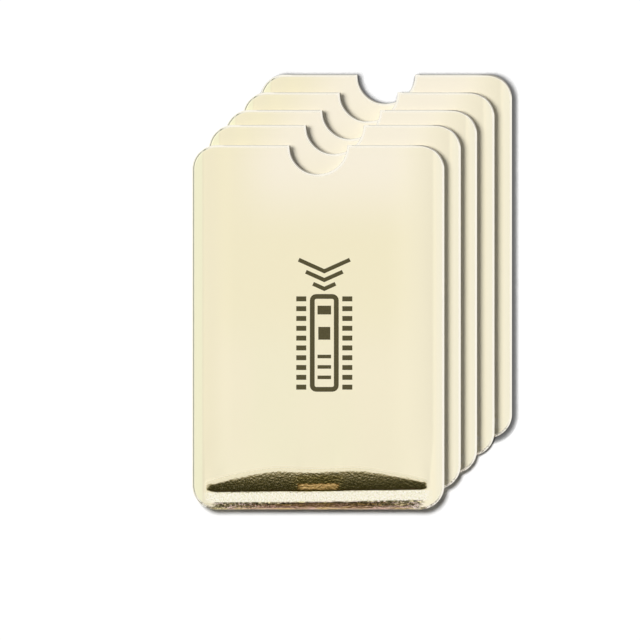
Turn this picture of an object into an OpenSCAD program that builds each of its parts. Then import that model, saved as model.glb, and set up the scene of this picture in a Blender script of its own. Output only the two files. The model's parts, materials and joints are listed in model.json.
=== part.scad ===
// Set of foil card sleeves that lie flat in a diagonal fan, with their mouths at the +Y end.
// Each sleeve is a front and a back laminate panel, sealed together along both sides and the
// bottom. A laminate is a gold film outside, a metal foil in the middle and a liner inside.
// Units are millimetres. +Z is up, and the origin is the centre of the set's footprint.
// Sleeve 1 lies on top and nearest the viewer, and the last sleeve lies on the table.

/* [Sleeve] */
// Width of one sleeve
sleeve_w = 63; // [60:0.5:75]
// Length of one sleeve, from its bottom edge to its mouth
sleeve_l = 91; // [85:0.5:110]
// Radius of the four outer corners
corner_r = 6; // [2:0.5:9]
// Radius of the thumb notch, centred on the edge of the mouth
notch_r = 7.25; // [5:0.25:12]

/* [Seals] */
// Width of the sealed band along each side
side_seal_w = 2.8; // [1.5:0.1:5]
// Width of the sealed band along the bottom
bottom_seal_w = 4.5; // [2:0.1:8]
// Thickness of the fused seal between the two panels
seal_t = 0.05; // [0.03:0.01:0.2]

/* [Laminate] */
// Thickness of the gold-lacquered outer film
film_t = 0.03; // [0.02:0.01:0.1]
// Thickness of the shielding foil
foil_t = 0.04; // [0.02:0.01:0.1]
// Thickness of the inner liner that the seals fuse to
liner_t = 0.08; // [0.04:0.01:0.2]

/* [Pocket] */
// Thickness of the card that the pocket is formed for
card_t = 0.76; // [0.5:0.01:1.2]
// Room between that card and the panels
card_play = 0.24; // [0.05:0.01:0.5]
// Run of each panel's curve from a side seal to its level middle
side_swell_w = 3; // [2:0.1:6]
// Run of each panel's curve from the bottom seal to its level middle
bottom_swell_l = 5; // [2:0.1:10]

/* [Fan] */
// Mean offset from one sleeve to the next, along X and along Y
fan_step = 4.3; // [2:0.1:8]
// Clearance between a sleeve's front and the sleeve that lies on it
lay_gap = 0.05; // [0.02:0.01:0.3]

/* [Hidden] */
// Places of sleeves 1 to 5 along X and Y, in shares of the fan step, uneven as laid by hand
fan_x_shares = [0, 0.96, 1.91, 2.93, 3.96];
fan_y_shares = [0, 1.18, 2.06, 3.09, 4.13];
sleeve_count = len(fan_x_shares);
last_sleeve = sleeve_count - 1;

// Heights: each panel swells away from the middle plane of the seals by half of the pocket
laminate_t = film_t + foil_t + liner_t;
pocket_h = card_t + card_play;
panel_rise = (pocket_h - seal_t) / 2;
sleeve_t = pocket_h + 2 * laminate_t;
fan_pitch = sleeve_t + lay_gap;

// The pocket between the side seals
pocket_w = sleeve_w - 2 * side_seal_w;
pocket_floor_y = bottom_seal_w - sleeve_l / 2;

// Overrun of shapes that are cut to the outline, and steps along one arc of a panel
overrun = 2;
swell_steps = 10;
$fn = 96;

PIECES = [
    "front_film",
    "front_foil",
    "front_liner",
    "back_liner",
    "back_foil",
    "back_film",
    "left_seal",
    "right_seal",
    "bottom_seal"
];

function node_name(n, piece) = str("sleeve_", n, "_", piece);

// Points of an arc that leaves the seal at a crease and ends level after its run and rise
function swell_arc(run, rise) =
    let (radius = (run * run + rise * rise) / (2 * rise))
    let (sweep = 2 * atan(rise / run))
    [for (i = [0:swell_steps])
        let (angle = sweep * (1 - i / swell_steps))
        [run - radius * sin(angle), rise - radius * (1 - cos(angle))]];

// One half of a section under a panel, from outside the seal to the level middle
function swell_section(edge, seal_w, run, lift) = [
    [edge - overrun, 0],
    [edge - overrun, seal_t / 2 + lift],
    for (p = swell_arc(run, panel_rise)) [edge + seal_w + p.x, seal_t / 2 + lift + p.y]
];

function mirrored(points) = [for (i = [len(points) - 1:-1:0]) [-points[i].x, points[i].y]];

// Outline of a panel: a rounded rectangle with the thumb notch in the edge of the mouth
module outline() {
    difference() {
        union() {
            square([sleeve_w - 2 * corner_r, sleeve_l], center = true);
            square([sleeve_w, sleeve_l - 2 * corner_r], center = true);
            for (side = [-1, 1], end = [-1, 1])
                translate([side * (sleeve_w / 2 - corner_r), end * (sleeve_l / 2 - corner_r)])
                    circle(corner_r);
        }
        translate([0, sleeve_l / 2])
            circle(notch_r);
    }
}

// Section across the sleeve: level over the seals, and swollen between them
module section_across(lift) {
    half = swell_section(-sleeve_w / 2, side_seal_w, side_swell_w, lift);
    polygon(concat(half, mirrored(half)));
}

// Section along the sleeve: level over the bottom seal, swollen, and open at the mouth
module section_along(lift) {
    half = swell_section(-sleeve_l / 2, bottom_seal_w, bottom_swell_l, lift);
    mouth = sleeve_l / 2 + overrun;
    polygon(concat(half, [[mouth, pocket_h / 2 + lift], [mouth, 0]]));
}

// The form that a panel is shaped over: half of the pocket and seals, raised by a lift
module form(lift) {
    intersection() {
        rotate([90, 0, 0])
            linear_extrude(sleeve_l + 2 * overrun, center = true)
                section_across(lift);
        rotate([90, 0, 90])
            linear_extrude(sleeve_w + 2 * overrun, center = true)
                section_along(lift);
    }
}

// One layer of the front panel, at a lift from the liner's inner face
module formed_layer(lift, thickness) {
    intersection() {
        linear_extrude(sleeve_t)
            outline();
        difference() {
            form(lift + thickness);
            form(lift);
        }
    }
}

// The same layer of the back panel, which is the front panel turned over
module turned_layer(lift, thickness) {
    mirror([0, 0, 1])
        formed_layer(lift, thickness);
}

// The sealed band that a rectangle cuts from the outline
module seal(corner, size) {
    linear_extrude(seal_t, center = true)
        intersection() {
            outline();
            translate(corner)
                square(size);
        }
}

module side_seal() {
    seal([pocket_w / 2, pocket_floor_y], [side_seal_w + overrun, sleeve_l]);
}

module front_film() {
    color("#F3EACB")
        formed_layer(liner_t + foil_t, film_t);
}

module front_foil() {
    color("#D3D5D6")
        formed_layer(liner_t, foil_t);
}

module front_liner() {
    color("#F4F2EA")
        formed_layer(0, liner_t);
}

module back_liner() {
    color("#F4F2EA")
        turned_layer(0, liner_t);
}

module back_foil() {
    color("#D3D5D6")
        turned_layer(liner_t, foil_t);
}

module back_film() {
    color("#F3EACB")
        turned_layer(liner_t + foil_t, film_t);
}

module left_seal() {
    color("#E9E4D2")
        mirror([1, 0, 0])
            side_seal();
}

module right_seal() {
    color("#E9E4D2")
        side_seal();
}

module bottom_seal() {
    color("#E9E4D2")
        seal([-sleeve_w / 2, -sleeve_l / 2], [sleeve_w, bottom_seal_w]);
}

// Moves a piece to its own sleeve's place in the fan
module in_sleeve(n) {
    i = n - 1;
    translate([
        fan_step * (fan_x_shares[i] - fan_x_shares[last_sleeve] / 2),
        fan_step * (fan_y_shares[i] - fan_y_shares[last_sleeve] / 2),
        fan_pitch * (last_sleeve - i) + sleeve_t / 2
    ])
        children();
}

for (n = [1:sleeve_count]) {
    in_sleeve(n) front_film();
    in_sleeve(n) front_foil();
    in_sleeve(n) front_liner();
    in_sleeve(n) back_liner();
    in_sleeve(n) back_foil();
    in_sleeve(n) back_film();
    in_sleeve(n) left_seal();
    in_sleeve(n) right_seal();
    in_sleeve(n) bottom_seal();
}
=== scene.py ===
import json
import math

import bpy
import numpy as np
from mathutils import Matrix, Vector

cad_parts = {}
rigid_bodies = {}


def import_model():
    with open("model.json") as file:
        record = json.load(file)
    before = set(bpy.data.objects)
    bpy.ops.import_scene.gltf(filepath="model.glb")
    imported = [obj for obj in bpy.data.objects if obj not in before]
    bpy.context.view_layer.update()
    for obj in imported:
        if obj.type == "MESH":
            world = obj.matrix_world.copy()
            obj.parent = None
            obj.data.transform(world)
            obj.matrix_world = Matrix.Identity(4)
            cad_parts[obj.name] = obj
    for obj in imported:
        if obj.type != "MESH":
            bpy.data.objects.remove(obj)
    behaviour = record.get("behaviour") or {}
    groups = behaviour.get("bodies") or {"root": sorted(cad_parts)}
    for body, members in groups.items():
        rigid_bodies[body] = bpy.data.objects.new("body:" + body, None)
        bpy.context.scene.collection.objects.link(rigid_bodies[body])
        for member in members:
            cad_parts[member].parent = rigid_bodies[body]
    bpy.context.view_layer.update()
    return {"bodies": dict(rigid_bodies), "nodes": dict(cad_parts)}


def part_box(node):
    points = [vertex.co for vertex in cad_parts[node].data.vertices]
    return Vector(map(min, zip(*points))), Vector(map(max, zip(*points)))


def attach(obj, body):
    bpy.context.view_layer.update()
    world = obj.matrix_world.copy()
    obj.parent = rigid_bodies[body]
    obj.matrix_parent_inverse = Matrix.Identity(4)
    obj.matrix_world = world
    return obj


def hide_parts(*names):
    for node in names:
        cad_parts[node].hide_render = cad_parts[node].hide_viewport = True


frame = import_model()

# Back films. Each is a sheet of clear film lacquered gold and metallised to a mirror, and its
# sleeve lies on it. It is die-cut together with its foil and liner, pressed over the form of
# the pocket, and heat-sealed to the front panel along both sides and the bottom.
mm = 0.001
sleeves = range(1, 1 + len(frame["bodies"]))
corner_r = 6 * mm
notch_r = 7.25 * mm
side_seal_w = 2.8 * mm
bottom_seal_w = 4.5 * mm
seal_t = 0.05 * mm
film_t = 0.03 * mm
foil_t = 0.04 * mm
liner_t = 0.08 * mm
laminate_t = film_t + foil_t + liner_t

film_low, film_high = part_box("sleeve_1_front_film")
sleeve_w = film_high.x - film_low.x
sleeve_l = film_high.y - film_low.y
sleeve_t = film_high.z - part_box("sleeve_1_back_film")[0].z
panel_rise = (sleeve_t - seal_t) / 2 - laminate_t
pocket_w = sleeve_w - 2 * side_seal_w
pocket_floor_y = bottom_seal_w - sleeve_l / 2

# Steps of the mesh round half the notch, along the level mouth and round a corner, for a film that
# shows and for a hidden layer
fine_steps = (14, 46, 28)
plain_steps = (9, 12, 12)

# Stretches of the mesh's rows in millimetres from the bottom edge, with their counts: close over
# the rolled edge and the fold of the pocket's floor, and wide over the level middle
fine_rows = [(0.6, 2.0, 12), (2.5, 4.3, 6), (4.5, 12.1, 39), (13, 22, 10), (25, 76, 16), (79, 90.4, 16)]
plain_rows = [(0.6, 2.0, 5), (3.2, 4.5, 3), (5.1, 10.5, 10), (13, 22, 4), (40, 76, 3), (79, 90.4, 6)]
row_bend_w = 2 * mm


def outline_columns(inset, steps):
    """Stations across a panel inset from its outline, and where the panel starts and ends there."""
    notch_steps, level_steps, corner_steps = steps
    notch, arc = notch_r + inset, corner_r - inset
    foot, mouth = inset - sleeve_l / 2, sleeve_l / 2 - inset
    a = np.linspace(0, math.acos(inset / notch), notch_steps + 1)
    b = np.linspace(0, math.pi / 2, corner_steps + 1)[1:]
    level = np.linspace(notch * math.sin(a[-1]), sleeve_w / 2 - corner_r, level_steps + 1)[1:]
    turn = arc * (1 - np.cos(b))
    x = np.concatenate([notch * np.sin(a), level, sleeve_w / 2 - corner_r + arc * np.sin(b)])
    start = np.concatenate([np.full(a.size + level.size, foot), foot + turn])
    end = np.concatenate([sleeve_l / 2 - notch * np.cos(a), np.full(level.size, mouth), mouth - turn])
    both = [np.concatenate([half[:0:-1], half]) for half in (x, start, end)]
    both[0][: x.size - 1] *= -1
    return both


def outline_grid(inset, steps, rows):
    """Rows by columns of points that fill an outline. The rows bend to its corners and its notch."""
    x, start, end = outline_columns(inset, steps)
    y = np.concatenate([np.linspace(*row) for row in rows])[:, None] * mm - sleeve_l / 2
    low = corner_r + row_bend_w - sleeve_l / 2
    high = sleeve_l / 2 - notch_r - row_bend_w
    near = start + (y - y[0]) / (low - y[0]) * (low - start)
    far = end - (y[-1] - y) / (y[-1] - high) * (end - high)
    return np.broadcast_to(x, near.shape), np.where(y < low, near, np.where(y > high, far, y))


def grid_edge(values):
    """The values along a grid's edge, counter-clockwise from its first corner."""
    return np.concatenate([values[0, :-1], values[:-1, -1], values[-1, :0:-1], values[:0:-1, 0]])


def smooth(t):
    """A smooth change from 0 to 1."""
    t = np.clip(t, 0, 1)
    return t * t * (3 - 2 * t)


# The fold at the pocket's floor is a facet that faces the viewer, shorter towards its two ends,
# where the pocket is pinched. Its slope eases from the crease at its foot to its head. Its foot
# runs a little askew, sags in the middle and lifts at both ends.
fold_mid_l = 4.62 * mm
fold_end_l = 0.9 * mm
fold_taper_w = 20 * mm
fold_left_growth = 1.9
fold_right_growth = 1.6
fold_foot_slope = math.tan(math.radians(6.5))
fold_head_slope = math.tan(math.radians(3.8))
fold_end_slope = math.tan(math.radians(5.8))
fold_ease_l = 0.55 * mm
fold_skew = 0.012
fold_lift = 0.05 * mm
fold_sag = 0.1 * mm
sag_half_w = 9 * mm
sag_fade = 5 * mm
end_lift = 0.5 * mm
end_lift_w = 0.8 * mm
end_lift_fade = 2.6 * mm
crease_l = 0.45 * mm
crease_slope = math.tan(math.radians(1.2))

# The facet's head is wavy, and each sleeve's waves are shifted by a share of their pitch
fold_hump = 0.14 * mm
fold_hump_pitch = 19 * mm
fold_hump_start = 0.554
fold_hump_shift = 0.37

# A shallow terrace in the middle of the fold, whose loss of height is regained further up
terrace_w = 10.3 * mm
terrace_fade = 0.5 * mm
terrace_foot = 0.30 * mm
terrace_head = 1.98 * mm
terrace_end = 12 * mm
terrace_slope = math.tan(math.radians(2.6))

# Past the fold the panel swells to its full height, and to the sides it falls in a curve that is
# short at the pinched floor and widens until the panel is free of the floor's pull
fill_run = 18 * mm
freeing_l = 14 * mm
pinch_w = 1.6 * mm
side_swell_w = 7.5 * mm
left_pinch = 0.45 * mm
right_pinch = 1.0 * mm

# The empty pocket is a little slack, and the panels lie in faint waves
slack = 0.02 * mm
wave_share = 0.3
wave_x, wave_y = 5.1 * mm, 7.3 * mm
wave_shift_x, wave_shift_y = 1.7, 2.3
wave_fade_x, wave_fade_y = 6 * mm, 25 * mm


def fold_growth(x):
    """Share of its growth from an end to its middle that the fold has at each place across."""
    inward = np.clip((pocket_w / 2 - abs(x)) / fold_taper_w, 0, 1)
    return 1 - (1 - inward) ** np.where(x < 0, fold_left_growth, fold_right_growth)


def fold_length(x, n):
    """Length of the fold's facet at each place across sleeve n."""
    waves = x / fold_hump_pitch + fold_hump_shift * (n - 1) + fold_hump_start
    hump = fold_hump * np.cos(2 * math.pi * waves)
    return fold_end_l + (fold_mid_l - fold_end_l + hump) * fold_growth(x)


def fold_foot_y(x):
    """Where the fold's foot is at each place across, but for its lifted ends."""
    sag = fold_sag * smooth((sag_half_w - abs(x)) / sag_fade)
    return pocket_floor_y + fold_lift + fold_skew * x - sag


def pocket_rise(x, y, n):
    """Height of a panel's inner face over the seals."""
    in_x = pocket_w / 2 - abs(x)
    in_y = y - fold_foot_y(x) - end_lift * (1 - smooth((in_x - end_lift_w) / end_lift_fade))
    fold = fold_length(x, n)
    on_fold = np.clip(in_y, 0, fold)
    on_ease = np.clip(in_y - fold, 0, fold_ease_l)
    head_slope = fold_end_slope + (fold_head_slope - fold_end_slope) * fold_growth(x)
    rise = on_fold * fold_foot_slope - (fold_foot_slope - head_slope) * on_fold**2 / (2 * fold)
    rise = rise + head_slope * (on_ease - on_ease**2 / (2 * fold_ease_l))
    top = fold * (fold_foot_slope + head_slope) / 2 + head_slope * fold_ease_l / 2
    fill = panel_rise - slack - top - crease_slope * crease_l
    rise = rise + fill * smooth((in_y - fold - fold_ease_l) / fill_run)
    rise = rise + crease_slope * np.clip(in_y, 0, crease_l)
    lost = terrace_slope * np.clip(in_y - terrace_foot, 0, terrace_head - terrace_foot)
    regained = np.clip((terrace_end - in_y) / (terrace_end - terrace_head), 0, 1)
    rise = rise - lost * regained * smooth((terrace_w / 2 - abs(x)) / terrace_fade + 0.5)
    freed = smooth(in_y / freeing_l)
    pinch = np.where(x < 0, left_pinch, right_pinch) * (1 - freed)
    share = np.clip((in_x - pinch) / (pinch_w + (side_swell_w - pinch_w) * freed), 0, 1)
    wave = np.sin(x / wave_x + wave_shift_x * n) * np.sin(y / wave_y + wave_shift_y * n)
    wave_depth = slack * wave_share * (1 + wave)
    rise = rise - wave_depth * smooth(in_x / wave_fade_x) * smooth(in_y / wave_fade_y)
    return rise * share * (2 - share)


# The outer part of the bottom seal rolls down, except round the corners
roll_l = 2.0 * mm
roll_crease_l = 0.5 * mm
roll_first_slope = math.tan(math.radians(11.5))
roll_last_slope = math.tan(math.radians(20))
roll_half_w = 27.2 * mm
roll_fade = 4.8 * mm


def edge_roll(x, y):
    """How far both panels drop at the rolled bottom edge."""
    length = roll_l + fold_skew * x
    out = np.clip(length - (y + sleeve_l / 2), 0, None) * np.minimum(roll_l / length, 1)
    crease = np.minimum(out, roll_crease_l)
    past = np.maximum(out - roll_crease_l, 0)
    drop = roll_first_slope * crease**2 / (2 * roll_crease_l)
    drop = drop + roll_first_slope * past
    drop = drop + (roll_last_slope - roll_first_slope) * past**2 / (2 * (roll_l - roll_crease_l))
    return drop * smooth((roll_half_w - abs(x)) / roll_fade)


# The cutting die squeezes a laminate thin along its edge: distances in from the edge, and the
# share of the thickness that is lost at each. On the left the die bites further in. It presses
# less at the upper left turn, on the right of the notch, and where the edge has rolled down.
rim_insets = [0.6 * mm, 0.46 * mm, 0.36 * mm, 0.25 * mm, 0.12 * mm, 0.0]
rim_squeezes = [0.0, 0.02, 0.09, 0.26, 0.48, 0.70]
bite_w = 0.2 * mm
bite_reach = 6 * mm
bite_fade = 2 * mm
turn_near_x, turn_near_fade = -23 * mm, 2 * mm
turn_far_x, turn_far_fade = -29.6 * mm, 1.5 * mm
turn_fade_y = 10 * mm
turn_relief = 0.4
notch_rim_w = 1.2 * mm
notch_rim_fade = 0.3 * mm
notch_fade_x = 2 * mm
notch_relief = 0.7
roll_relief = 0.8
roll_relief_drop = 0.1 * mm


def outline_distance(x, y):
    """Distance in from a panel's outline."""
    past_x = abs(x) - (sleeve_w / 2 - corner_r)
    past_y = abs(y) - (sleeve_l / 2 - corner_r)
    past_corner = np.hypot(np.maximum(past_x, 0), np.maximum(past_y, 0))
    past_corner = past_corner + np.minimum(np.maximum(past_x, past_y), 0)
    return np.minimum(corner_r - past_corner, np.hypot(x, y - sleeve_l / 2) - notch_r)


def rim_squeeze(x, y):
    """Share of a laminate's thickness that is lost near its cut edge."""
    bite = bite_w * smooth((bite_reach - sleeve_w / 2 - x) / bite_fade)
    squeeze = np.interp(outline_distance(x, y) - bite, rim_insets[::-1], rim_squeezes[::-1])
    at_turn = smooth((turn_near_x - x) / turn_near_fade) * smooth((x - turn_far_x) / turn_far_fade)
    squeeze = squeeze * (1 - turn_relief * at_turn * smooth(y / turn_fade_y))
    at_notch = smooth((notch_r + notch_rim_w - np.hypot(x, y - sleeve_l / 2)) / notch_rim_fade)
    squeeze = squeeze * (1 - notch_relief * at_notch * smooth(x / notch_fade_x))
    return squeeze * (1 - roll_relief * smooth(edge_roll(x, y) / roll_relief_drop))


# The hot sealing bar leaves a mirror gloss from the bottom edge to just past the fold. Its reach
# to each side and the fading there are in millimetres, with what they change by on the rolled edge.
gloss_margin = 0.15 * mm
gloss_fade = 1.1 * mm
gloss_left, gloss_left_fade = 28.6, 0.8
gloss_right, gloss_right_fade = 27.4, 0.5
rolled_left, rolled_left_fade = 1.0, 2.0
rolled_right, rolled_right_fade = 0.9, 1.5


def polish(x, y, n):
    """Share of mirror gloss at each place on sleeve n."""
    above = y - pocket_floor_y - fold_lift - fold_length(x, n) - fold_ease_l - gloss_margin
    low = 1 - smooth((y + sleeve_l / 2 - roll_l) / mm)
    left = (x / mm + gloss_left - rolled_left * low) / (gloss_left_fade + rolled_left_fade * low)
    right = (gloss_right - rolled_right * low - x / mm) / (gloss_right_fade + rolled_right_fade * low)
    return (1 - smooth(above / gloss_fade)) * smooth(left) * smooth(right)


def closed_sheet(name, shape, upper, lower):
    """A thin closed sheet: two grids of that shape, each with loops round it, and a wall between."""
    along, across = shape
    grid = np.arange(along * across).reshape(shape)
    edge = grid_edge(grid)
    starts = range(grid.size, len(upper), edge.size)
    loops = [edge] + [np.arange(start, start + edge.size) for start in starts]
    quads = [np.stack([grid[:-1, :-1], grid[:-1, 1:], grid[1:, 1:], grid[1:, :-1]], -1).reshape(-1, 4)]
    for inner, outer in zip(loops, loops[1:]):
        quads.append(np.stack([inner, outer, np.roll(outer, -1), np.roll(inner, -1)], -1))
    top = np.concatenate(quads)
    rim, under = loops[-1], loops[-1] + len(upper)
    wall = np.stack([rim, under, np.roll(under, -1), np.roll(rim, -1)], -1)
    faces = np.concatenate([top, top[:, ::-1] + len(upper), wall])
    mesh = bpy.data.meshes.new(name)
    mesh.from_pydata(np.concatenate([upper, lower]).tolist(), [], faces.tolist())
    mesh.shade_smooth()
    mesh.set_sharp_from_angle(angle=math.radians(45))
    sheet = bpy.data.objects.new(name, mesh)
    bpy.context.scene.collection.objects.link(sheet)
    return sheet


def sleeve_place(n):
    """Centre of sleeve n, at the height of its seals."""
    low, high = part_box(f"sleeve_{n}_back_film")[0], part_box(f"sleeve_{n}_front_film")[1]
    return (low + high) / 2


def panel_layer(n, side, node, inner, outer, steps, rows):
    """One layer of a sleeve's front (side 1) or back (side -1) panel.

    It lies between two heights over the liner's inner face. Each of its points keeps its place
    on the panel, its distance in from the edge and its share of gloss, for the finish.
    """
    place = sleeve_place(n)
    points = {inner: [], outer: []}
    marks = []
    for inset in rim_insets:
        x, y = outline_grid(inset, steps, rows)
        shape = x.shape
        if inset == rim_insets[0]:
            x, y = x.ravel(), y.ravel()
        else:
            x, y = grid_edge(x), grid_edge(y)
        seat = seal_t / 2 + pocket_rise(x, y, n)
        drop = edge_roll(x, y)
        squeeze = rim_squeeze(x, y)
        marks.append(np.stack([x, y, outline_distance(x, y), polish(x, y, n)], -1))
        for lift, rows_at in points.items():
            z = side * (seat + lift * (1 - squeeze)) - drop
            rows_at.append(np.stack([x + place.x, y + place.y, z + place.z], -1))
    faces = [np.concatenate(points[lift]) for lift in (outer, inner)[::side]]
    sheet = closed_sheet(f"{node}_sheet", shape, *faces)
    marks = np.tile(np.concatenate(marks), (2, 1))
    on_panel = sheet.data.attributes.new("on_panel", "FLOAT_VECTOR", "POINT")
    on_panel.data.foreach_set("vector", marks[:, :3].ravel())
    polished = sheet.data.attributes.new("polish", "FLOAT", "POINT")
    polished.data.foreach_set("value", np.ascontiguousarray(marks[:, 3]))
    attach(sheet, f"sleeve_{n}")
    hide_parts(node)
    return sheet


def add(tree, kind, inputs=None, **settings):
    """A node with its settings. An input is a value, or a socket to link from."""
    made = tree.nodes.new(kind)
    for key, value in settings.items():
        setattr(made, key, value)
    for key, value in (inputs or {}).items():
        if isinstance(value, bpy.types.NodeSocket):
            tree.links.new(value, made.inputs[key])
        else:
            made.inputs[key].default_value = value
    return made


def ramp(tree, factor, *stops):
    """A colour ramp through stops of a position and a colour."""
    made = add(tree, "ShaderNodeValToRGB", {"Fac": factor})
    made.color_ramp.elements.remove(made.color_ramp.elements[0])
    for i, (position, colour) in enumerate(stops):
        stop = made.color_ramp.elements[0] if i == 0 else made.color_ramp.elements.new(position)
        stop.position = position
        stop.color = (*colour, 1)
    return made.outputs["Color"]


def finish(name):
    """A new material, its tree, its shader and coordinates that stay with the piece, in metres."""
    material = bpy.data.materials.new(name)
    material.use_nodes = True
    tree = material.node_tree
    coordinates = add(tree, "ShaderNodeTexCoord").outputs["Object"]
    return material, tree, tree.nodes["Principled BSDF"], coordinates


def noise(tree, coordinates, grain, detail=2.0, stretch=(1, 1, 1)):
    """Noise whose grain has about that size, drawn out along an axis by its stretch."""
    scale = [1 / (grain * s) for s in stretch]
    placed = add(tree, "ShaderNodeMapping", {"Vector": coordinates, "Scale": scale}).outputs[0]
    inputs = {"Vector": placed, "Scale": 1.0, "Detail": detail}
    return add(tree, "ShaderNodeTexNoise", inputs).outputs[0]


def math_of(tree, operation, a, b):
    """Two values put together."""
    return add(tree, "ShaderNodeMath", {0: a, 1: b}, operation=operation).outputs[0]


def product(tree, value, *shares):
    """A value times one or more shares."""
    for share in shares:
        value = math_of(tree, "MULTIPLY", value, share)
    return value


def fade(tree, value, start, end, low=0.0, high=1.0):
    """A value's smooth change from low at start to high at end."""
    inputs = {"Value": value, "From Min": start, "From Max": end, "To Min": low, "To Max": high}
    if start > end:
        inputs = {"Value": value, "From Min": end, "From Max": start, "To Min": high, "To Max": low}
    return add(tree, "ShaderNodeMapRange", inputs, interpolation_type="SMOOTHSTEP").outputs[0]


def blended(tree, share, colour, other):
    """A colour that gives way to another by a share."""
    made = add(tree, "ShaderNodeMix", {0: share}, data_type="RGBA")
    inputs = [socket for socket in made.inputs if socket.type == "RGBA"]
    for socket, value in zip(inputs, (colour, other)):
        if isinstance(value, bpy.types.NodeSocket):
            tree.links.new(value, socket)
        else:
            socket.default_value = (*value, 1)
    return next(socket for socket in made.outputs if socket.type == "RGBA")


def panel_place(tree):
    """A point's place across and along its panel, and its distance in from the cut edge."""
    on_panel = add(tree, "ShaderNodeAttribute", attribute_name="on_panel").outputs["Vector"]
    part = add(tree, "ShaderNodeSeparateXYZ", {"Vector": on_panel})
    return [part.outputs[axis] for axis in "XYZ"]


# The lacquer's tones on the level faces, each with where it starts and is full: across or along the panel
# from its middle, or in from the cut edge. Some are painted light: a darker tone over the left swell is
# painted shade and a paler one over the right swell is painted light, which even out the lamp's light on the
# swells; the pinkish cream at the top is a painted reflection; the pale rim along the cut is a painted
# highlight.
straw = ((0.915, 0.855, 0.62), (0.93, 0.855, 0.63))
upper_straw, upper_part = (0.915, 0.84, 0.59), (-12 * mm, 10 * mm)
# Pinkish cream at the top, a painted reflection of the studio
painted_top_reflection, top_part, off_left = (0.97, 0.895, 0.73), (20 * mm, 42 * mm), (-26 * mm, -8 * mm)
# Darker over the left swell is painted shade, and paler over the right swell is painted light, evening out
# the lamp's light there
left_painted_shade, left_side = (0.84, 0.77, 0.555), (-22 * mm, -28 * mm)
right_painted_light, right_side = (1.0, 0.925, 0.69), (16 * mm, 28 * mm)
left_band_tone, left_band = (0.925, 0.905, 0.64), (-28.7 * mm, -29.2 * mm)
right_band_tone, right_band = (0.935, 0.88, 0.69), (28.6 * mm, 30.2 * mm)
# Paler along the cut: a painted highlight
rim_painted_highlight, rim_part = (0.99, 0.95, 0.84), (0.65 * mm, 0.4 * mm)
cut_tone, cut_face = (0.30, 0.27, 0.19), (0.03 * mm, 0.005 * mm)
side_share = 0.8


def level_tone(tree, at, across, along, from_edge):
    """Darker straw at the left and paler cream at the right, painted shade and painted light over the swells;
    pinkish cream at the top, a painted reflection; paler in the side bands; paler along the cut, a painted
    highlight.
    """
    drift = noise(tree, at, 24 * mm, detail=1.0, stretch=(0.6, 1.5, 1))
    tone = ramp(tree, drift, (0.36, straw[0]), (0.64, straw[1]))
    tone = blended(tree, fade(tree, along, *upper_part), tone, upper_straw)
    # Painted reflection: pinkish cream towards the top, away from the left
    painted_top_share = product(tree, fade(tree, along, *top_part), fade(tree, across, *off_left))
    tone = blended(tree, painted_top_share, tone, painted_top_reflection)
    # Painted shade over the left swell, then painted light over the right swell
    tone = blended(tree, fade(tree, across, *left_side), tone, left_painted_shade)
    tone = blended(tree, fade(tree, across, *right_side, high=side_share), tone, right_painted_light)
    tone = blended(tree, fade(tree, across, *left_band, high=side_share), tone, left_band_tone)
    tone = blended(tree, fade(tree, across, *right_band, high=side_share), tone, right_band_tone)
    # Painted highlight along the cut edge
    tone = blended(tree, fade(tree, from_edge, *rim_part), tone, rim_painted_highlight)
    return blended(tree, fade(tree, from_edge, *cut_face), tone, cut_tone)


# The sealing bar mottles the bottom seal with pale dimples. The ochre and rose tints of the rolled edge, with
# dark spots that grow towards its ends, are a painted reflection, and so are the warm gold in the middle of
# the fold and the tan on its terrace. A zone's distances are from the sleeve's middle, over the bottom edge
# or over the fold's foot.
pressed_tone = (0.88, 0.805, 0.575)
seal_mottle = [
    (0.34, (0.86, 0.80, 0.60)),
    (0.44, (0.96, 0.94, 0.70)),
    (0.52, (0.97, 0.88, 0.74)),
    (0.60, (1.0, 0.98, 0.86)),
]
# Painted reflection: ochre and rose tints for the rolled edge
painted_roll_reflection_tints = [
    (0.40, (1.0, 0.89, 0.50)),
    (0.48, (0.97, 0.86, 0.64)),
    (0.56, (1.0, 0.84, 0.76)),
]
# Painted reflection: dark spots on the rolled edge, their tone, their reach from the middle and their height
painted_dark_spot_tone, dark_spot_aside, dark_spot_height = (0.32, 0.28, 0.16), (2 * mm, 15 * mm), (0.5 * mm, 0.9 * mm)
seal_end, roll_end = (29.5 * mm, 26.5 * mm), (27.5 * mm, 25 * mm)
# Painted reflection: warm gold in the middle of the fold and tan on its terrace
warm_painted_reflection, warm_head, warm_aside = (0.98, 0.84, 0.40), (4.5 * mm, 3.5 * mm), (8 * mm, 4 * mm)
terrace_painted_reflection, terrace_head_feather, terrace_side_feather = (0.82, 0.57, 0.25), 0.2 * mm, 0.3 * mm
feather = 0.1 * mm

# Heights of the film's relief in millimetres: a crinkle over all of it, on the level faces and
# where it was pressed, dimples on the seal, and on the rolled edge long wrinkles and short
# puckers, in its middle and at its ends
crinkle_level, crinkle_pressed = 0.005, 0.023
dimple_depth = 0.009
wrinkle_depth = 0.06
pucker_mid, pucker_end, pucker_aside = 0.04, 0.11, (6 * mm, 26 * mm)

# Gloss of the level faces and of the mirror. The rim is a mirror too, and the cut face is dull
satin_metallic = 0.12
satin_roughness, mirror_roughness = 0.36, 0.07
rim_gloss = (0.64 * mm, 0.5 * mm)


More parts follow.
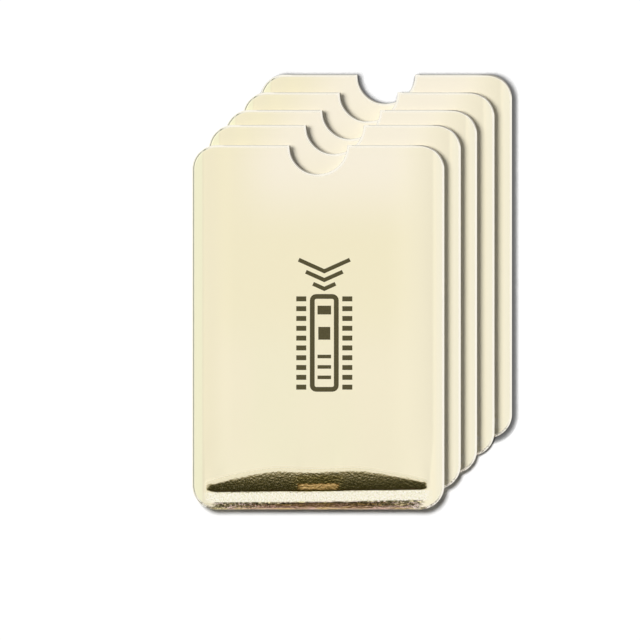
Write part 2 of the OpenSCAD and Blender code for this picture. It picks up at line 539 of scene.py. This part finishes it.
def painted_roll_reflection(tree, at, aside, height):
    """Ochre and rose tints of the rolled edge and dark spots that grow towards its ends, a painted
    reflection.
    """
    painted_tints = ramp(tree, noise(tree, at, 3 * mm, stretch=(1.5, 0.2, 1)), *painted_roll_reflection_tints)
    painted_dark_spots = fade(tree, noise(tree, at, 0.45 * mm, stretch=(1.7, 1, 1)), 0.54, 0.47)
    toward_end = fade(tree, aside, *dark_spot_aside, low=0.5)
    over_edge = fade(tree, height, *dark_spot_height, low=0.2)
    return blended(tree, product(tree, painted_dark_spots, toward_end, over_edge), painted_tints, painted_dark_spot_tone)


def film_relief(tree, at, aside, polished, dimples, on_seal, on_roll):
    """Height of the film's relief, in millimetres."""
    crinkle = noise(tree, at, 0.5 * mm, detail=3.0, stretch=(1.2, 1, 1))
    crinkle = product(tree, crinkle, fade(tree, polished, 0.0, 1.0, crinkle_level, crinkle_pressed))
    dents = product(tree, dimples, on_seal, dimple_depth)
    wrinkles = product(tree, noise(tree, at, 0.6 * mm, stretch=(6, 1, 1)), on_roll, wrinkle_depth)
    pucker_depth = fade(tree, aside, *pucker_aside, pucker_mid, pucker_end)
    puckers = noise(tree, at, 0.5 * mm, detail=3.0, stretch=(1.5, 1, 1))
    puckers = product(tree, puckers, on_roll, pucker_depth)
    on_bar = math_of(tree, "ADD", dents, math_of(tree, "ADD", wrinkles, puckers))
    return math_of(tree, "ADD", crinkle, on_bar)


def gold_film_finish():
    """Gold lacquer over metallised film: satin where level, a mirror where the bar pressed it."""
    material, tree, shader, at = finish("gold_film")
    across, along, from_edge = panel_place(tree)
    polished = add(tree, "ShaderNodeAttribute", attribute_name="polish").outputs["Fac"]
    aside = add(tree, "ShaderNodeMath", {0: across}, operation="ABSOLUTE").outputs[0]

    # Height over the bottom edge and over the fold's foot, which both run a little askew
    height = math_of(tree, "ADD", along, sleeve_l / 2)
    height = math_of(tree, "SUBTRACT", height, product(tree, across, fold_skew))
    sag = fade(tree, aside, sag_half_w - sag_fade, sag_half_w, fold_sag, 0.0)
    over_foot = math_of(tree, "SUBTRACT", height, bottom_seal_w + fold_lift)
    over_foot = math_of(tree, "ADD", over_foot, sag)
    on_roll = fade(tree, height, roll_l + feather, roll_l - feather)
    over_roll = fade(tree, height, roll_l - feather, roll_l + feather)
    under_fold = fade(tree, over_foot, feather, -feather)
    on_seal = product(tree, over_roll, under_fold, fade(tree, aside, *seal_end))

    tone = level_tone(tree, at, across, along, from_edge)
    tone = blended(tree, fade(tree, polished, 0.02, 0.3), tone, pressed_tone)
    dimples = noise(tree, at, 0.33 * mm)
    tone = blended(tree, on_seal, tone, ramp(tree, dimples, *seal_mottle))
    # Painted reflection on the rolled edge: ochre and rose tints and dark spots
    painted_roll_share = product(tree, on_roll, fade(tree, aside, *roll_end))
    tone = blended(tree, painted_roll_share, tone, painted_roll_reflection(tree, at, aside, height))
    # Painted reflection: warm gold in the middle of the fold
    painted_warm_share = product(tree, fade(tree, over_foot, -feather, feather), fade(tree, over_foot, *warm_head))
    painted_warm_share = product(tree, painted_warm_share, fade(tree, aside, *warm_aside, high=0.7))
    tone = blended(tree, painted_warm_share, tone, warm_painted_reflection)
    # Painted reflection: tan on the fold's terrace
    painted_terrace_share = product(
        tree,
        fade(tree, over_foot, terrace_foot - feather, terrace_foot + feather),
        fade(tree, over_foot, terrace_head + terrace_head_feather, terrace_head),
        fade(tree, aside, terrace_w / 2 + terrace_side_feather, terrace_w / 2),
    )
    tone = blended(tree, painted_terrace_share, tone, terrace_painted_reflection)
    tree.links.new(tone, shader.inputs["Base Color"])

    mirror = math_of(tree, "MAXIMUM", polished, fade(tree, from_edge, *rim_gloss))
    mirror = product(tree, mirror, fade(tree, from_edge, *cut_face[::-1]))
    tree.links.new(fade(tree, mirror, 0.25, 1.0, low=satin_metallic), shader.inputs["Metallic"])
    haze = fade(tree, noise(tree, at, 0.6 * mm), 0.3, 0.7, high=0.04)
    roughness = fade(tree, mirror, 0.0, 0.4, satin_roughness, mirror_roughness)
    tree.links.new(math_of(tree, "ADD", roughness, haze), shader.inputs["Roughness"])
    shader.inputs["Coat Weight"].default_value = 0.4
    shader.inputs["Coat Roughness"].default_value = 0.06

    relief = film_relief(tree, at, aside, polished, dimples, on_seal, on_roll)
    raised = add(tree, "ShaderNodeBump", {"Height": relief, "Strength": 1.0, "Distance": mm})
    tree.links.new(raised.outputs[0], shader.inputs["Normal"])
    return material


gold_film = gold_film_finish()
for n in sleeves:
    film = panel_layer(n, -1, f"sleeve_{n}_back_film", liner_t + foil_t, laminate_t, fine_steps, fine_rows)
    film.data.materials.append(gold_film)


# Shielding foils. Bare rolled aluminium between film and liner in both panels, which stops a
# reader's field. A foil only shows as a thin dull line in the cut edges and at the mouth.
foil_tones = ((0.74, 0.75, 0.76), (0.86, 0.87, 0.88))
foil_cut_tone = (0.42, 0.42, 0.42)
foil_cut_roughness = 0.5


def shield_foil_finish():
    """Rolled aluminium, with the mill's faint lines along the sleeve."""
    material, tree, shader, at = finish("shield_foil")
    lines = noise(tree, at, 0.2 * mm, stretch=(1, 40, 1))
    from_edge = panel_place(tree)[2]
    severed = fade(tree, from_edge, *cut_face)
    rolled = ramp(tree, lines, (0.3, foil_tones[0]), (0.7, foil_tones[1]))
    tree.links.new(blended(tree, severed, rolled, foil_cut_tone), shader.inputs["Base Color"])
    shader.inputs["Metallic"].default_value = 1.0
    roughness = fade(tree, lines, 0.0, 1.0, 0.16, 0.3)
    roughness = math_of(tree, "MAXIMUM", roughness, product(tree, severed, foil_cut_roughness))
    tree.links.new(roughness, shader.inputs["Roughness"])
    return material


shield_foil = shield_foil_finish()
for n in sleeves:
    for side, panel in ((-1, "back"), (1, "front")):
        node = f"sleeve_{n}_{panel}_foil"
        foil = panel_layer(n, side, node, liner_t, liner_t + foil_t, plain_steps, plain_rows)
        foil.data.materials.append(shield_foil)


# Liners. Milky heat-seal plastic inside both panels. They line the pocket, and their edges show
# as a pale line in the mouth and in the thumb notch.
dimple_d = 0.01 * mm


def milky_finish(name, tones, mottle_grain, detail, roughness, dimple_grain, dimple_share):
    """Milky plastic with a mottle between two tones and fine dimples."""
    material, tree, shader, at = finish(name)
    mottle = noise(tree, at, mottle_grain, detail)
    tone = ramp(tree, mottle, (0.3, tones[0]), (0.7, tones[1]))
    tree.links.new(tone, shader.inputs["Base Color"])
    shader.inputs["Roughness"].default_value = roughness
    relief = {"Height": noise(tree, at, dimple_grain), "Strength": dimple_share, "Distance": dimple_d}
    tree.links.new(add(tree, "ShaderNodeBump", relief).outputs[0], shader.inputs["Normal"])
    return material


liner_tones = ((0.66, 0.65, 0.60), (0.78, 0.77, 0.73))
seal_liner = milky_finish(
    "seal_liner",
    liner_tones,
    mottle_grain=2.5 * mm,
    detail=4.0,
    roughness=0.42,
    dimple_grain=0.3 * mm,
    dimple_share=0.3,
)
for n in sleeves:
    for side, panel in ((-1, "back"), (1, "front")):
        liner = panel_layer(n, side, f"sleeve_{n}_{panel}_liner", 0, liner_t, plain_steps, plain_rows)
        liner.data.materials.append(seal_liner)


# Fused seals. Where the two liners melt into one along the sides and the bottom, yellower than the
# liner and dimpled by the sealing bar. The bottom seal follows the roll of the bottom edge, so it
# is meshed here, in rows from the edge to the pocket's floor. The side seals stay as they are.
melt_tones = ((0.70, 0.66, 0.54), (0.84, 0.81, 0.70))
seal_rows = np.concatenate([np.linspace(0, 0.44, 9), [0.75, 1]])[:, None]
fused_seal = milky_finish(
    "fused_seal",
    melt_tones,
    mottle_grain=0.9 * mm,
    detail=3.0,
    roughness=0.5,
    dimple_grain=0.4 * mm,
    dimple_share=0.4,
)
for n in sleeves:
    for hand in ("left", "right"):
        frame["nodes"][f"sleeve_{n}_{hand}_seal"].material_slots[0].material = fused_seal
    place = sleeve_place(n)
    across, start, _ = outline_columns(0, plain_steps)
    held = start < pocket_floor_y
    across, start = across[held], start[held]
    y = start + seal_rows * (pocket_floor_y - start)
    x = np.broadcast_to(across, y.shape)
    faces = []
    for face in (1, -1):
        z = face * seal_t / 2 - edge_roll(x, y)
        faces.append(np.stack([x + place.x, y + place.y, z + place.z], -1).reshape(-1, 3))
    seal = closed_sheet(f"sleeve_{n}_bottom_seal_strip", y.shape, *faces)
    seal.data.materials.append(fused_seal)
    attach(seal, f"sleeve_{n}")
    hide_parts(f"sleeve_{n}_bottom_seal")

# Front films. The same lacquered film as on the back, the face that the photograph shows, with
# its thumb notch in the edge of the mouth.
for n in sleeves:
    film = panel_layer(n, 1, f"sleeve_{n}_front_film", liner_t + foil_t, laminate_t, fine_steps, fine_rows)
    film.data.materials.append(gold_film)

# Print. Dark ink on the front of each sleeve, screen-printed after the lacquer: a plain pictogram
# of a card that goes in by its mouth, between two rows of guard bars. Its sizes are in millimetres,
# from the print's middle.
ink_t = 0.01 * mm
ink_soak = 0.002 * mm
print_place = (1.5, 0.7)
ink_tones = ((0.055, 0.046, 0.016), (0.085, 0.072, 0.028))
chevron_slope, chevron_w = 0.45, 1.0
chevrons = ((6.4, 13.3), (4.6, 11.1), (2.8, 8.9))
card_half_w, card_head, card_foot = 2.0, 6.0, -15.2
card_corner_r, card_line_w = 1.0, 1.2
card_marks = ((1.7, 3.6, 2.2), (1.5, -2.2, 3.2), (1.7, -8.0, 0.9), (1.7, -10.6, 0.9), (1.7, -13.2, 0.9))
guard_x, guard_half_l, guard_w = 5.75, 1.25, 1.25
guard_head, guard_pitch, guard_count = 6.4, 2.45, 10


def print_strokes():
    """Strokes of the print: a path, its width, and whether it closes."""
    strokes = []
    for half, tip in chevrons:
        end = tip + chevron_slope * half
        strokes.append(([(-half, end), (0, tip), (half, end)], chevron_w, False))
    card = []
    corners = ((card_half_w, card_head), (-card_half_w, card_head))
    corners += ((-card_half_w, card_foot), (card_half_w, card_foot))
    for quarter, (x, y) in enumerate(corners):
        for a in np.radians([0, 22.5, 45, 67.5, 90]) + math.radians(90 * quarter):
            card.append((x + card_corner_r * math.cos(a), y + card_corner_r * math.sin(a)))
    strokes.append((card, card_line_w, True))
    for half, y, width in card_marks:
        strokes.append(([(-half, y), (half, y)], width, False))
    for x in (-guard_x, guard_x):
        for i in range(guard_count):
            y = guard_head - guard_pitch * i
            strokes.append(([(x - guard_half_l, y), (x + guard_half_l, y)], guard_w, False))
    return strokes


def stroke_sides(path, width, closed):
    """The two long edges of a stroke, mitred at its bends."""
    path = np.array(path, float)
    ahead = np.roll(path, -1, 0) - path
    behind = np.roll(ahead, 1, 0)
    if not closed:
        ahead[-1], behind[0] = behind[-1], ahead[0]
    ahead /= np.linalg.norm(ahead, axis=1)[:, None]
    behind /= np.linalg.norm(behind, axis=1)[:, None]
    across = np.stack([-(ahead + behind)[:, 1], (ahead + behind)[:, 0]], -1)
    across /= (1 + np.sum(ahead * behind, 1))[:, None]
    return path + across * width / 2, path - across * width / 2


def ink_finish():
    """Dark olive ink, matt with a slight sheen, a little thinner here and there."""
    material, tree, shader, at = finish("print_ink")
    coverage = noise(tree, at, 0.25 * mm, detail=3.0)
    tone = ramp(tree, coverage, (0.3, ink_tones[0]), (0.7, ink_tones[1]))
    tree.links.new(tone, shader.inputs["Base Color"])
    shader.inputs["Roughness"].default_value = 0.45
    return material


ink = ink_finish()
for n in sleeves:
    place = sleeve_place(n)
    points, faces = [], []
    for path, width, closed in print_strokes():
        sides = [side * mm + np.array(print_place) * mm for side in stroke_sides(path, width, closed)]
        first, count = len(points), len(path)
        for (x0, y0), (x1, y1) in zip(*sides):
            z0, z1 = (seal_t / 2 + pocket_rise(x, y, n) + laminate_t for x, y in ((x0, y0), (x1, y1)))
            points += [(x0, y0, z0 + ink_t), (x1, y1, z1 + ink_t)]
            points += [(x1, y1, z1 - ink_soak), (x0, y0, z0 - ink_soak)]
        for i in range(count if closed else count - 1):
            here, there = first + 4 * i, first + 4 * ((i + 1) % count)
            faces += [(here + k, here + (k + 1) % 4, there + (k + 1) % 4, there + k) for k in range(4)]
        if not closed:
            last = first + 4 * (count - 1)
            faces += [(first + 3, first + 2, first + 1, first), (last, last + 1, last + 2, last + 3)]
    mesh = bpy.data.meshes.new(f"sleeve_{n}_print")
    mesh.from_pydata([(x + place.x, y + place.y, z + place.z) for x, y, z in points], [], faces)
    printed = bpy.data.objects.new(f"sleeve_{n}_print", mesh)
    bpy.context.scene.collection.objects.link(printed)
    printed.data.materials.append(ink)
    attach(printed, f"sleeve_{n}")

# Table top. Plain white and matt, just under the set. Painted shade darkens its colour within two millimetres
# of the set on the side away from the lamps, by ambient occlusion that leans towards them, and it glows
# faintly where it is looked at.
table_half_w = 2.0
table_drop = 0.02 * mm
table_shade_w = 1.9 * mm
towards_lamps = {"X": -0.66, "Y": 0.66, "Z": 0.36}
# Tones of the painted shade, from most shut in to open
table_painted_shade_tones = [(0.72, (0.10, 0.10, 0.10)), (0.92, (0.18, 0.18, 0.18)), (0.99, (0.9, 0.9, 0.9))]
table_glow = (0.03, 0.03, 0.03, 1)
table = bpy.data.objects.new("table_top", bpy.data.meshes.new("table_top"))
corners = [(x * table_half_w, y * table_half_w, -table_drop) for x, y in ((-1, -1), (1, -1), (1, 1), (-1, 1))]
table.data.from_pydata(corners, [], [(0, 1, 2, 3)])
bpy.context.scene.collection.objects.link(table)
white, tree, shader, _ = finish("table_white_painted_shade")
facing = add(tree, "ShaderNodeCombineXYZ", towards_lamps).outputs[0]
inputs = {"Distance": table_shade_w, "Normal": facing}
# Painted shade: ambient occlusion towards the lamps darkens the table's colour near the set
painted_shade_open_share = add(tree, "ShaderNodeAmbientOcclusion", inputs, samples=16).outputs["AO"]
tree.links.new(ramp(tree, painted_shade_open_share, *table_painted_shade_tones), shader.inputs["Base Color"])
shader.inputs["Roughness"].default_value = 0.9
shader.inputs["Specular IOR Level"].default_value = 0.0
light = add(tree, "ShaderNodeLightPath")
seen = math_of(tree, "MAXIMUM", light.outputs["Is Camera Ray"], light.outputs["Is Glossy Ray"])
tree.links.new(seen, shader.inputs["Emission Strength"])
shader.inputs["Emission Color"].default_value = table_glow
table.data.materials.append(white)

# Studio. A white ceiling overhead, a dark wall on the left, and the dark shape of the stand with
# its warm edges on the viewer's side, all of which the foil mirrors. A tone's position is how far
# its direction leans from straight up, as a sine.
far_left_share, far_away_share = 0.8, 0.55
wall_tones = [
    (0.00, (0.97, 0.97, 0.97)),
    (0.38, (0.97, 0.97, 0.96)),
    (0.46, (0.13, 0.15, 0.07)),
    (0.78, (0.13, 0.15, 0.07)),
    (0.88, (0.70, 0.70, 0.66)),
    (1.00, (0.90, 0.90, 0.90)),
]
beam_tone, beam_share, beam_near, beam_far = (0.30, 0.30, 0.26), 0.3, (0.42, 0.50), (0.88, 0.78)
right_corner_tone, right_corner, right_corner_share = (0.20, 0.18, 0.15), (0.40, 0.46), 0.7
diagonal = 0.7071
stand_tones = [
    (0.000, (0.97, 0.97, 0.97)),
    (0.090, (0.97, 0.97, 0.97)),
    (0.108, (0.78, 0.70, 0.51)),
    (0.122, (0.33, 0.26, 0.14)),
    (0.140, (0.22, 0.185, 0.090)),
    (0.156, (0.090, 0.088, 0.040)),
    (0.180, (0.052, 0.050, 0.020)),
    (0.213, (0.036, 0.033, 0.011)),
    (0.262, (0.032, 0.029, 0.009)),
    (0.280, (0.010, 0.008, 0.001)),
    (0.330, (0.062, 0.038, 0.014)),
    (0.353, (0.085, 0.058, 0.030)),
    (0.413, (0.160, 0.112, 0.062)),
    (0.533, (0.160, 0.100, 0.060)),
    (0.593, (0.150, 0.085, 0.045)),
    (0.633, (0.62, 0.46, 0.38)),
    (0.700, (0.74, 0.58, 0.52)),
    (0.900, (0.45, 0.42, 0.38)),
]
stand_side, stand_start = (0.32, 0.24), 0.07
stand_step, stand_step_w = (0.29, 0.35), 0.14
blotch_grain, blotch_depth = 0.02, 0.05
fill_light = 0.05

world = bpy.data.worlds.new("studio")
bpy.context.scene.world = world
world.use_nodes = True
world.cycles.sampling_method = "NONE"
tree = world.node_tree
tree.nodes.clear()
towards = add(tree, "ShaderNodeTexCoord").outputs["Generated"]
part = add(tree, "ShaderNodeSeparateXYZ", {"Vector": towards})
rightward, away = part.outputs["X"], part.outputs["Y"]
leftward = product(tree, rightward, -1.0)
nearer = product(tree, away, -1.0)

far_left = math_of(tree, "ADD", product(tree, leftward, far_left_share), product(tree, away, far_away_share))
walls = ramp(tree, math_of(tree, "MAXIMUM", leftward, far_left), *wall_tones)
beam = product(tree, fade(tree, away, *beam_near), fade(tree, away, *beam_far), beam_share)
ceiling = blended(tree, beam, walls, beam_tone)
far_right = product(tree, math_of(tree, "ADD", rightward, away), diagonal)
far_right = fade(tree, far_right, *right_corner, high=right_corner_share)
ceiling = blended(tree, far_right, ceiling, right_corner_tone)

blotches = math_of(tree, "SUBTRACT", noise(tree, towards, blotch_grain, detail=3.0), 0.5)
blotches = product(tree, blotches, blotch_depth)
stand = ramp(tree, math_of(tree, "ADD", nearer, blotches), *stand_tones)
aside = add(tree, "ShaderNodeMath", {0: rightward}, operation="ABSOLUTE").outputs[0]
aside = math_of(tree, "ADD", aside, fade(tree, nearer, *stand_step, high=stand_step_w))
near_side = math_of(tree, "GREATER_THAN", nearer, stand_start)
on_stand = product(tree, fade(tree, aside, *stand_side), near_side)
mirrored = blended(tree, on_stand, ceiling, stand)

rays = add(tree, "ShaderNodeLightPath")
mirror = add(tree, "ShaderNodeBackground", {"Color": mirrored, "Strength": 1.0}).outputs[0]
fill = add(tree, "ShaderNodeBackground", {"Color": (1, 1, 1, 1), "Strength": fill_light}).outputs[0]
seen = add(tree, "ShaderNodeBackground", {"Color": (1, 1, 1, 1), "Strength": 1.0}).outputs[0]
lit = add(tree, "ShaderNodeMixShader", {0: rays.outputs["Is Glossy Ray"], 1: fill, 2: mirror}).outputs[0]
lit = add(tree, "ShaderNodeMixShader", {0: rays.outputs["Is Camera Ray"], 1: lit, 2: seen}).outputs[0]
add(tree, "ShaderNodeOutputWorld", {"Surface": lit})


# Lamps. A large soft one far off to the left throws each sleeve's shadow on the next. A smaller one
# higher up lights the table alone, so that the set's shadow there keeps close to its outline.
def lamp(name, lamp_from, spread, energy, table_share):
    """A far lamp from a direction, for the table alone (INCLUDE) or for all but the table (EXCLUDE)."""
    light = bpy.data.objects.new(name, bpy.data.lights.new(name, "SUN"))
    light.data.angle = math.radians(spread)
    light.data.energy = energy
    light.rotation_euler = (-Vector(lamp_from)).to_track_quat("-Z", "Y").to_euler()
    light.visible_glossy = False
    bpy.context.scene.collection.objects.link(light)
    lit_by = bpy.data.collections.new(f"lit_by_{name}")
    lit_by.objects.link(table)
    lit_by.collection_objects[0].light_linking.link_state = table_share
    light.light_linking.receiver_collection = lit_by


lamp("set_lamp", (-1.1, 0.3, 1.0), spread=32, energy=4.54, table_share="EXCLUDE")
lamp("table_lamp", (-0.18, 0.21, 1.0), spread=13, energy=3.5, table_share="INCLUDE")

# Camera. Straight above the middle of the photograph's frame, with a long lens, so that hardly any
# of the sleeves' sides shows. Its height follows from the width that the picture takes in.
camera = bpy.data.objects.new("camera", bpy.data.cameras.new("camera"))
view_centre = (-8.08 * mm, -7.06 * mm)
view_w = 159.85 * mm
camera.data.sensor_width = 36
camera.data.lens = 500
camera.location = (*view_centre, film_high.z + view_w * camera.data.lens / camera.data.sensor_width)
camera.data.clip_start = 0.05
camera.data.clip_end = 10
bpy.context.scene.collection.objects.link(camera)
bpy.context.scene.camera = camera
bpy.context.scene.view_settings.view_transform = "Standard"
